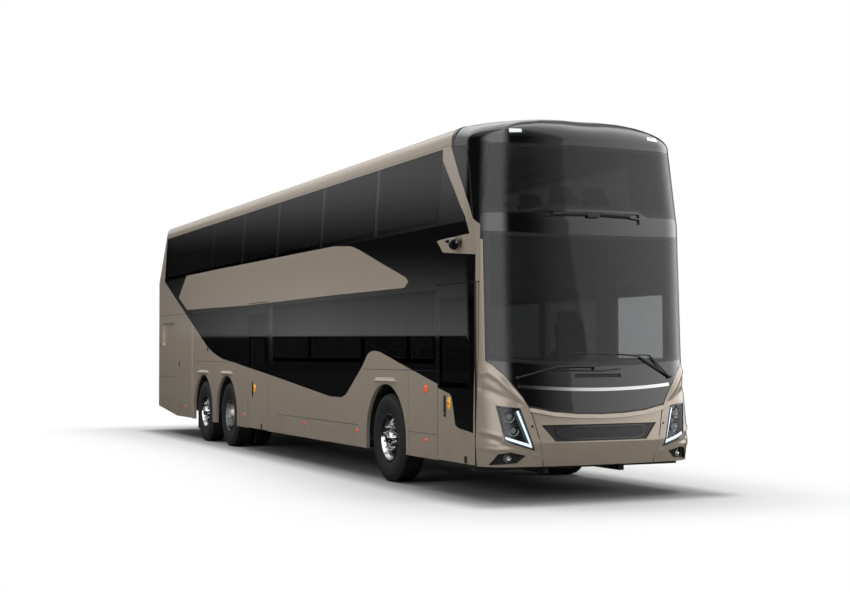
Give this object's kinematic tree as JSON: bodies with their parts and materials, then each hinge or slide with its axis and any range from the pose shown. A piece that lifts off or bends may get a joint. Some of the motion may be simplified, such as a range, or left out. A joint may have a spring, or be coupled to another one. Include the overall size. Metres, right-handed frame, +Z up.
{
  "type": "double-decker coach",
  "caption": "Three-axle double-decker touring coach with bonded side glazing, two outward-swinging passenger doors, luggage flaps and steered front and tag wheels",
  "frame": {"origin": "on the ground, below the middle of the coach's length and width", "axes": "+X forward along the coach, +Y to the driver's left, +Z up"},
  "size_m": [14.9045, 2.74, 4],
  "materials": {
    "body_paint": "metallic champagne beige with clear coat",
    "black_gloss": "gloss black",
    "tinted_glass": "dark grey tinted",
    "windscreen_glass": "light grey tint",
    "bright_metal": "satin chrome",
    "alloy": "polished",
    "tyre_rubber": "matt black",
    "chassis_black": "satin black",
    "axle_iron": "satin grey",
    "spring_rubber": "matt black",
    "black_plastic": "grained black",
    "cabin_grey": "grained dark grey",
    "floor_grey": "speckled grey covering",
    "seat_fabric": "woven dark grey",
    "lamp_clear": "clear",
    "lamp_red": "clear red",
    "lamp_amber": "clear amber"
  },
  "bodies": {
    "root": {"roof": "body_paint", "front_cap": "black_gloss", "side_wall_right": "body_paint", "side_wall_left": "body_paint", "side_glass_right": "tinted_glass", "side_glass_left": "tinted_glass", "rear_wall": "body_paint", "rear_glass": "tinted_glass", "tail_lamps": "lamp_red", "front_frame": "black_gloss", "windscreens": "windscreen_glass", "front_panel": "black_gloss", "front_corners": "body_paint", "bumper_centre": "body_paint", "lower_grille": "black_plastic", "bright_strip": "bright_metal", "headlamps": "lamp_clear", "marker_lamps": "lamp_amber", "camera_pods": "black_gloss", "wipers": "black_plastic", "lower_floor": "floor_grey", "upper_floor": "floor_grey", "wheel_arch_liners": "black_plastic", "chassis_frame": "chassis_black", "engine_block": "axle_iron", "axles": "axle_iron", "air_springs": "spring_rubber", "dashboard": "cabin_grey", "steering_wheel": "black_plastic", "seats": "seat_fabric"},
    "engine_lid": {"engine_lid": "body_paint"},
    "wheel_front_right": {"tyre_front_right": "tyre_rubber", "rim_front_right": "alloy"},
    "knuckle_front_right": {"knuckle_front_right": "axle_iron"},
    "wheel_front_left": {"tyre_front_left": "tyre_rubber", "rim_front_left": "alloy"},
    "knuckle_front_left": {"knuckle_front_left": "axle_iron"},
    "wheel_drive_right": {"tyre_drive_right": "tyre_rubber", "rim_drive_right": "alloy"},
    "wheel_drive_left": {"tyre_drive_left": "tyre_rubber", "rim_drive_left": "alloy"},
    "wheel_tag_right": {"tyre_tag_right": "tyre_rubber", "rim_tag_right": "alloy"},
    "knuckle_tag_right": {"knuckle_tag_right": "axle_iron"},
    "wheel_tag_left": {"tyre_tag_left": "tyre_rubber", "rim_tag_left": "alloy"},
    "knuckle_tag_left": {"knuckle_tag_left": "axle_iron"},
    "front_door_arm": {"front_door_arm": "chassis_black"},
    "front_door_leaf": {"front_door_leaf": "body_paint", "front_door_glass": "tinted_glass"},
    "mid_door_arm": {"mid_door_arm": "chassis_black"},
    "mid_door_leaf": {"mid_door_leaf": "body_paint", "mid_door_glass": "tinted_glass"},
    "luggage_flap_right": {"luggage_flap_right": "body_paint"},
    "service_door_right": {"service_door_right": "body_paint"},
    "luggage_flap_left": {"luggage_flap_left": "body_paint"},
    "service_door_left": {"service_door_left": "body_paint"}
  },
  "joints": [
    {"name": "steer_front_right", "type": "hinge", "parent": "root", "child": "knuckle_front_right", "pos_m": [4.6, -1, 0.52], "axis": [0, 0, 1], "range_deg": [-38, 38]},
    {"name": "wheel_front_right_spin", "type": "hinge", "parent": "knuckle_front_right", "child": "wheel_front_right", "pos_m": [4.6, -1.1, 0.52], "axis": [0, 1, 0], "continuous": true},
    {"name": "steer_front_left", "type": "hinge", "parent": "root", "child": "knuckle_front_left", "pos_m": [4.6, 1, 0.52], "axis": [0, 0, 1], "range_deg": [-38, 38]},
    {"name": "wheel_front_left_spin", "type": "hinge", "parent": "knuckle_front_left", "child": "wheel_front_left", "pos_m": [4.6, 1.1, 0.52], "axis": [0, 1, 0], "continuous": true},
    {"name": "wheel_drive_right_spin", "type": "hinge", "parent": "root", "child": "wheel_drive_right", "pos_m": [-2.35, -0.92, 0.52], "axis": [0, 1, 0], "continuous": true},
    {"name": "wheel_drive_left_spin", "type": "hinge", "parent": "root", "child": "wheel_drive_left", "pos_m": [-2.35, 0.92, 0.52], "axis": [0, 1, 0], "continuous": true},
    {"name": "steer_tag_right", "type": "hinge", "parent": "root", "child": "knuckle_tag_right", "pos_m": [-3.84, -1, 0.52], "axis": [0, 0, 1], "range_deg": [-9.5, 9.5]},
    {"name": "wheel_tag_right_spin", "type": "hinge", "parent": "knuckle_tag_right", "child": "wheel_tag_right", "pos_m": [-3.84, -1.1, 0.52], "axis": [0, 1, 0], "continuous": true},
    {"name": "steer_tag_left", "type": "hinge", "parent": "root", "child": "knuckle_tag_left", "pos_m": [-3.84, 1, 0.52], "axis": [0, 0, 1], "range_deg": [-9.5, 9.5]},
    {"name": "wheel_tag_left_spin", "type": "hinge", "parent": "knuckle_tag_left", "child": "wheel_tag_left", "pos_m": [-3.84, 1.1, 0.52], "axis": [0, 1, 0], "continuous": true},
    {"name": "front_door_swing", "type": "hinge", "parent": "root", "child": "front_door_arm", "pos_m": [6.975, -1.16, 1.3], "axis": [0, 0, 1], "range_deg": [0, 150]},
    {"name": "front_door_leaf_turn", "type": "hinge", "parent": "front_door_arm", "child": "front_door_leaf", "pos_m": [6.5541, -1.135, 1.3], "axis": [0, 0, 1], "range_deg": [-150, 0]},
    {"name": "mid_door_swing", "type": "hinge", "parent": "root", "child": "mid_door_arm", "pos_m": [-0.145, -1.16, 1.3], "axis": [0, 0, 1], "range_deg": [0, 150]},
    {"name": "mid_door_leaf_turn", "type": "hinge", "parent": "mid_door_arm", "child": "mid_door_leaf", "pos_m": [-0.6096, -1.135, 1.3], "axis": [0, 0, 1], "range_deg": [-150, 0]},
    {"name": "luggage_flap_right_lift", "type": "hinge", "parent": "root", "child": "luggage_flap_right", "pos_m": [-3.667, -1.275, 2.24], "axis": [-1, 0, 0], "range_deg": [0, 90]},
    {"name": "service_door_right_swing", "type": "hinge", "parent": "root", "child": "service_door_right", "pos_m": [-4.615, -1.275, 1.3], "axis": [0, 0, 1], "range_deg": [0, 90]},
    {"name": "luggage_flap_left_lift", "type": "hinge", "parent": "root", "child": "luggage_flap_left", "pos_m": [-3.667, 1.275, 2.24], "axis": [1, 0, 0], "range_deg": [0, 90]},
    {"name": "service_door_left_swing", "type": "hinge", "parent": "root", "child": "service_door_left", "pos_m": [-4.615, 1.275, 1.3], "axis": [0, 0, -1], "range_deg": [0, 90]},
    {"name": "engine_lid_lift", "type": "hinge", "parent": "root", "child": "engine_lid", "pos_m": [-7.45, 0, 1.895], "axis": [0, 1, 0], "range_deg": [0, 80]}
  ],
  "couplings": [
    {"joint": "steer_front_left", "follows": "steer_front_right", "ratio": 1},
    {"joint": "steer_tag_right", "follows": "steer_front_right", "ratio": -0.25},
    {"joint": "steer_tag_left", "follows": "steer_front_right", "ratio": -0.25},
    {"joint": "front_door_leaf_turn", "follows": "front_door_swing", "ratio": -1},
    {"joint": "mid_door_leaf_turn", "follows": "mid_door_swing", "ratio": -1}
  ]
}
